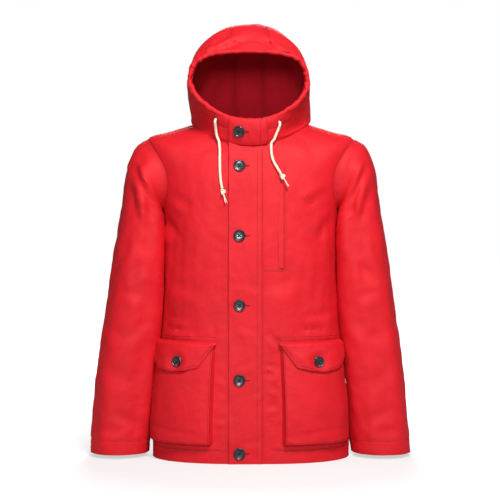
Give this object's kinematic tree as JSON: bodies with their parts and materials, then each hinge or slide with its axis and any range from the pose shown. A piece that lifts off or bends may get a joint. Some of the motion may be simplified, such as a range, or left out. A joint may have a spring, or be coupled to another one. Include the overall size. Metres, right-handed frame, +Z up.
{
  "type": "hooded foul weather jacket",
  "caption": "Hooded foul weather jacket with a buttoned storm placket, flapped patch pockets, a drawcord hood and long sleeves, filled out as if worn.",
  "frame": {"origin": "under the middle of the jacket, on the plane that its hem stands on", "axes": "+Z up, the front faces -Y, the wearer's left is +X"},
  "size_m": [0.698, 0.264, 0.9472],
  "materials": {
    "shell_cloth": "coated cotton twill, matte with a slight wax sheen",
    "lining_cloth": "plain dark crimson cotton, matte",
    "drawcord": "unbleached braided cotton cord",
    "button_horn": "dark horn-like resin, polished",
    "button_thread": "waxed black sewing thread",
    "eyelet_brass": "antique brass, worn"
  },
  "bodies": {
    "torso": {"front_left_panel": "shell_cloth", "front_right_panel": "shell_cloth", "back_panel": "shell_cloth", "hem_facing": "shell_cloth", "front_facing_left": "shell_cloth", "front_facing_right": "shell_cloth", "lining_front_left": "lining_cloth", "lining_front_right": "lining_cloth", "lining_back": "lining_cloth", "neck_tape": "shell_cloth", "hanging_loop": "shell_cloth", "pocket_gusset_left": "shell_cloth", "pocket_front_left": "shell_cloth", "pocket_gusset_right": "shell_cloth", "pocket_front_right": "shell_cloth", "chest_pocket_welt": "shell_cloth", "chest_pocket_bag": "lining_cloth", "eyelet_left": "eyelet_brass", "eyelet_right": "eyelet_brass", "drawcord_left": "drawcord", "drawcord_right": "drawcord", "knot_left": "drawcord", "knot_right": "drawcord"},
    "hood": {"hood_left": "shell_cloth", "hood_middle": "shell_cloth", "hood_right": "shell_cloth", "hood_lining_left": "lining_cloth", "hood_lining_middle": "lining_cloth", "hood_lining_right": "lining_cloth", "hood_casing": "shell_cloth", "drawcord_inside": "drawcord"},
    "sleeve_left": {"sleeve_left": "shell_cloth", "sleeve_lining_left": "lining_cloth", "cuff_facing_left": "shell_cloth"},
    "sleeve_right": {"sleeve_right": "shell_cloth", "sleeve_lining_right": "lining_cloth", "cuff_facing_right": "shell_cloth"},
    "storm_placket": {"storm_placket": "shell_cloth"},
    "throat_tab": {"throat_tab": "shell_cloth"},
    "pocket_flap_left": {"pocket_flap_left": "shell_cloth"},
    "pocket_flap_right": {"pocket_flap_right": "shell_cloth"},
    "front_button_1": {"front_button_1": "button_horn", "front_button_1_thread": "button_thread"},
    "front_button_2": {"front_button_2": "button_horn", "front_button_2_thread": "button_thread"},
    "front_button_3": {"front_button_3": "button_horn", "front_button_3_thread": "button_thread"},
    "front_button_4": {"front_button_4": "button_horn", "front_button_4_thread": "button_thread"},
    "front_button_5": {"front_button_5": "button_horn", "front_button_5_thread": "button_thread"},
    "throat_button": {"throat_button": "button_horn", "throat_button_thread": "button_thread"},
    "pocket_button_left": {"pocket_button_left": "button_horn", "pocket_button_left_thread": "button_thread"},
    "pocket_button_right": {"pocket_button_right": "button_horn", "pocket_button_right_thread": "button_thread"}
  },
  "joints": [
    {"name": "hood_fold", "type": "hinge", "parent": "torso", "child": "hood", "pos_m": [-0.006, -0.1085, 0.717], "axis": [-1, 0, 0], "range_deg": [0, 60], "deforming": ["hood_left", "hood_middle", "hood_right", "hood_lining_left", "hood_lining_middle", "hood_lining_right", "hood_casing", "drawcord_inside"]},
    {"name": "sleeve_left_swing", "type": "hinge", "parent": "torso", "child": "sleeve_left", "pos_m": [0.2285, 0, 0.6865], "axis": [0, -1, 0], "range_deg": [0, 60]},
    {"name": "sleeve_right_swing", "type": "hinge", "parent": "torso", "child": "sleeve_right", "pos_m": [-0.2285, 0, 0.6865], "axis": [0, 1, 0], "range_deg": [0, 60]},
    {"name": "placket_open", "type": "hinge", "parent": "torso", "child": "storm_placket", "pos_m": [0.026, -0.119, 0.33], "axis": [0, 0, 1], "range_deg": [0, 110], "deforming": ["storm_placket"]},
    {"name": "throat_tab_open", "type": "hinge", "parent": "torso", "child": "throat_tab", "pos_m": [0.0362, -0.1125, 0.6995], "axis": [0, -0.3182, 0.948], "range_deg": [0, 100], "deforming": ["throat_tab"]},
    {"name": "pocket_flap_left_lift", "type": "hinge", "parent": "torso", "child": "pocket_flap_left", "pos_m": [0.12943, -0.0919, 0.256], "axis": [-0.8788, -0.4771, 0], "range_deg": [0, 75], "deforming": ["pocket_flap_left"]},
    {"name": "pocket_flap_right_lift", "type": "hinge", "parent": "torso", "child": "pocket_flap_right", "pos_m": [-0.13835, -0.08625, 0.256], "axis": [-0.8372, 0.5469, 0], "range_deg": [0, 75], "deforming": ["pocket_flap_right"]},
    {"name": "front_button_1_twist", "type": "hinge", "parent": "torso", "child": "front_button_1", "pos_m": [-0.0231, -0.132, 0.0224], "axis": [-0.0207, -0.9997, -0.0105], "range_deg": [-25, 25], "stiffness_Nm_per_rad": 0.002},
    {"name": "front_button_2_twist", "type": "hinge", "parent": "torso", "child": "front_button_2", "pos_m": [-0.0231, -0.1297, 0.1752], "axis": [-0.0223, -0.9991, 0.0374], "range_deg": [-25, 25], "stiffness_Nm_per_rad": 0.002},
    {"name": "front_button_3_twist", "type": "hinge", "parent": "torso", "child": "front_button_3", "pos_m": [-0.0232, -0.1257, 0.331], "axis": [-0.0263, -0.9996, -0.0079], "range_deg": [-25, 25], "stiffness_Nm_per_rad": 0.002},
    {"name": "front_button_4_twist", "type": "hinge", "parent": "torso", "child": "front_button_4", "pos_m": [-0.0232, -0.1273, 0.4771], "axis": [-0.0276, -0.9994, 0.0225], "range_deg": [-25, 25], "stiffness_Nm_per_rad": 0.002},
    {"name": "front_button_5_twist", "type": "hinge", "parent": "torso", "child": "front_button_5", "pos_m": [-0.0231, -0.1185, 0.624], "axis": [-0.0185, -0.9856, 0.1678], "range_deg": [-25, 25], "stiffness_Nm_per_rad": 0.002},
    {"name": "throat_button_twist", "type": "hinge", "parent": "torso", "child": "throat_button", "pos_m": [-0.0244, -0.1214, 0.6944], "axis": [-0.1995, -0.9166, -0.3464], "range_deg": [-25, 25], "stiffness_Nm_per_rad": 0.002},
    {"name": "pocket_button_left_twist", "type": "hinge", "parent": "torso", "child": "pocket_button_left", "pos_m": [0.1437, -0.1151, 0.2119], "axis": [0.4111, -0.9096, 0.0608], "range_deg": [-25, 25], "stiffness_Nm_per_rad": 0.002},
    {"name": "pocket_button_right_twist", "type": "hinge", "parent": "torso", "child": "pocket_button_right", "pos_m": [-0.1551, -0.1094, 0.212], "axis": [-0.4782, -0.8757, 0.0667], "range_deg": [-25, 25], "stiffness_Nm_per_rad": 0.002}
  ]
}
